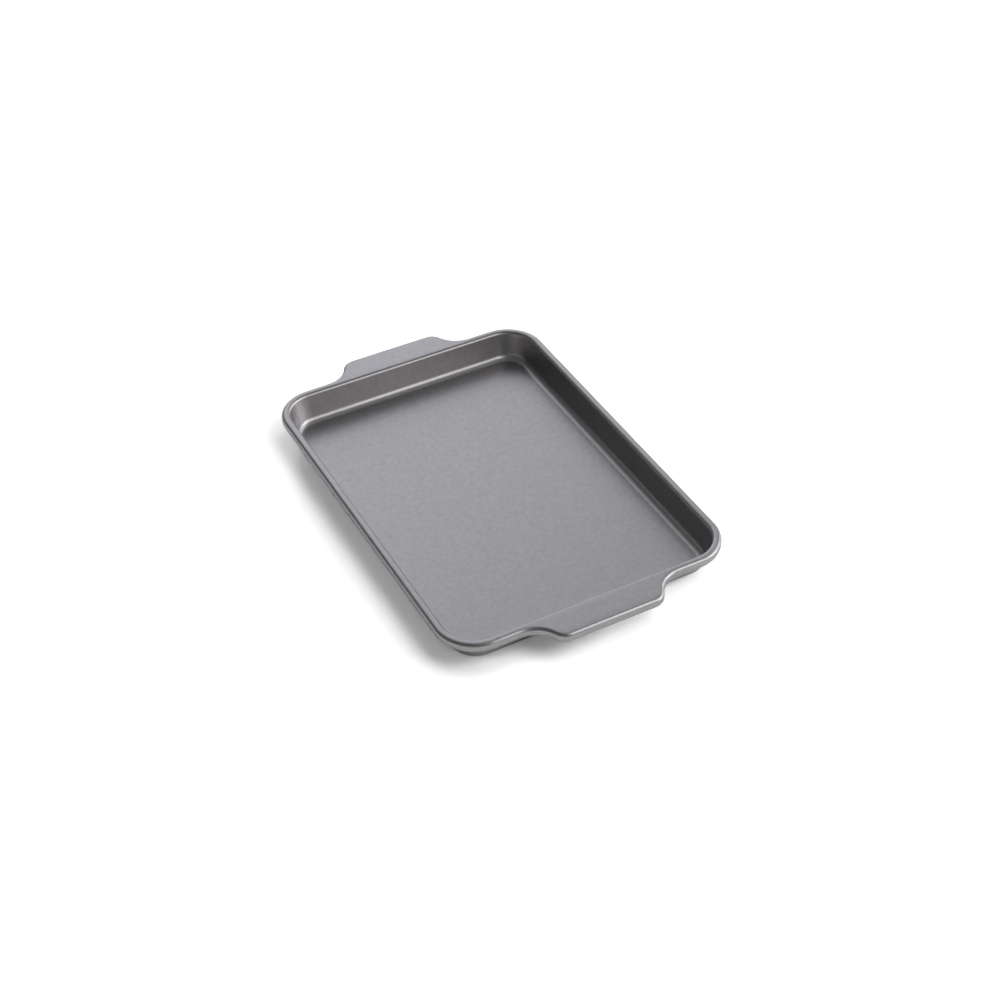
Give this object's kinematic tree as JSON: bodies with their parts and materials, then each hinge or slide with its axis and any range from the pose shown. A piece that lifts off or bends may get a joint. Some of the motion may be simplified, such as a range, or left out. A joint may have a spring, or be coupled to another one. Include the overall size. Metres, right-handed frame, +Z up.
{
  "type": "cookie sheet",
  "caption": "Shallow rectangular baking sheet with leaning walls, coved floor, flat handle tabs on the short ends and a rolled wired rim, grey coated.",
  "frame": {"origin": "middle of the flat underside, on the surface the tray stands on", "axes": "+X along the tray towards one handle tab, +Y across it, +Z up out of the open side"},
  "size_m": [0.3834, 0.242, 0.0254],
  "materials": {
    "coated_sheet": "satin grey non-stick coating baked on pressed steel sheet",
    "wire_steel": "drawn steel wire, uncoated"
  },
  "bodies": {
    "root": {"pan_body": "coated_sheet", "rim_wire": "wire_steel"}
  },
  "joints": []
}
